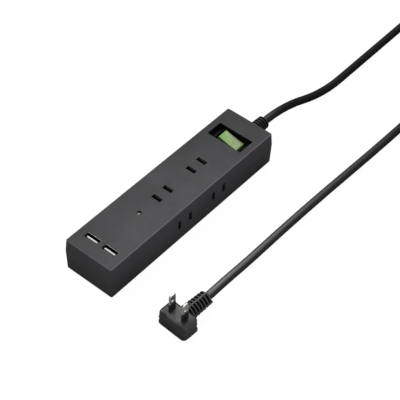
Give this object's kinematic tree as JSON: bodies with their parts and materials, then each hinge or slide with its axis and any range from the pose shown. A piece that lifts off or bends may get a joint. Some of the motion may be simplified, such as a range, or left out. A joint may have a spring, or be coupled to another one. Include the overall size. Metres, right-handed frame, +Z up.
{
  "type": "power strip",
  "caption": "Flat power strip with outlets on the top and one side, USB charging ports, a lit rocker switch, and a cord with a right-angle two-blade plug.",
  "frame": {"origin": "centre of the case's underside", "axes": "+Z up from the surface it rests on, +Y towards the end the cord leaves, +X towards the side with outlets"},
  "size_m": [0.1555, 0.4894, 0.0312],
  "materials": {
    "case_plastic": "fine matt texture",
    "switch_plastic": "matt",
    "rocker_green": "translucent gloss",
    "soft_black": "satin",
    "cord_vinyl": "semi-gloss vinyl",
    "plug_vinyl": "satin vinyl",
    "sleeve_black": "satin",
    "contact_metal": "nickel plate",
    "brass": "stamped",
    "bright_steel": "tin plate",
    "zinc_steel": "zinc plate",
    "white_plastic": "smooth",
    "clear_plastic": "clear",
    "lamp_glass": "clear",
    "insulator": "moulded",
    "circuit_board": "solder mask",
    "ferrite": "sintered",
    "yellow_tape": "tape",
    "can_aluminium": "drawn can",
    "varistor_coat": "dipped coat",
    "component": "coated",
    "chip_black": "moulded",
    "wire_black": "vinyl",
    "wire_white": "vinyl",
    "wire_red": "vinyl"
  },
  "bodies": {
    "housing": {"top_shell": "case_plastic", "bottom_shell": "case_plastic", "case_screws": "zinc_steel", "switch_housing": "switch_plastic", "terminal_load": "brass", "terminal_common": "brass", "terminal_lamp": "brass", "neon_lamp": "lamp_glass", "lamp_resistor": "component", "live_busbar": "brass", "neutral_busbar": "brass", "contact_carrier": "insulator", "usb_board": "circuit_board", "board_screws": "zinc_steel", "port_shells": "bright_steel", "port_tongues": "white_plastic", "port_contacts": "contact_metal", "transformer_core": "ferrite", "transformer_winding": "yellow_tape", "capacitors": "can_aluminium", "varistor": "varistor_coat", "fuse": "component", "control_chips": "chip_black", "indicator_led": "white_plastic", "light_pipe": "clear_plastic", "wire_switched": "wire_black", "wire_lamp": "wire_white", "usb_leads": "wire_red", "cord_clamp": "insulator", "clamp_screws": "zinc_steel", "cord_boot": "soft_black", "cord_jacket": "cord_vinyl", "core_live": "wire_black", "core_neutral": "wire_white"},
    "rocker": {"switch_rocker": "rocker_green", "plunger": "insulator", "plunger_spring": "zinc_steel"},
    "lever": {"contact_lever": "brass"},
    "plug": {"plug_body": "plug_vinyl", "plug_boot": "soft_black", "plug_blades": "contact_metal", "blade_sleeves": "sleeve_black", "plug_insert": "insulator", "plug_crimps": "brass", "plug_cores": "wire_white", "plug_cord_end": "cord_vinyl"}
  },
  "joints": [
    {"name": "switch_tilt", "type": "hinge", "parent": "housing", "child": "rocker", "pos_m": [0, 0.0695, 0.0205], "axis": [0, 1, 0], "range_deg": [-23, 0]},
    {"name": "lever_tilt", "type": "hinge", "parent": "housing", "child": "lever", "pos_m": [0, 0.0695, 0.0109], "axis": [0, 1, 0], "range_deg": [0, 11.5]},
    {"name": "plug_bend", "type": "hinge", "parent": "housing", "child": "plug", "pos_m": [0.07822, -0.06343, 0.007], "axis": [0, 0, 1], "range_deg": [-25, 25], "deforming": ["plug_boot"]}
  ],
  "couplings": [
    {"joint": "lever_tilt", "follows": "switch_tilt", "ratio": -0.5}
  ]
}
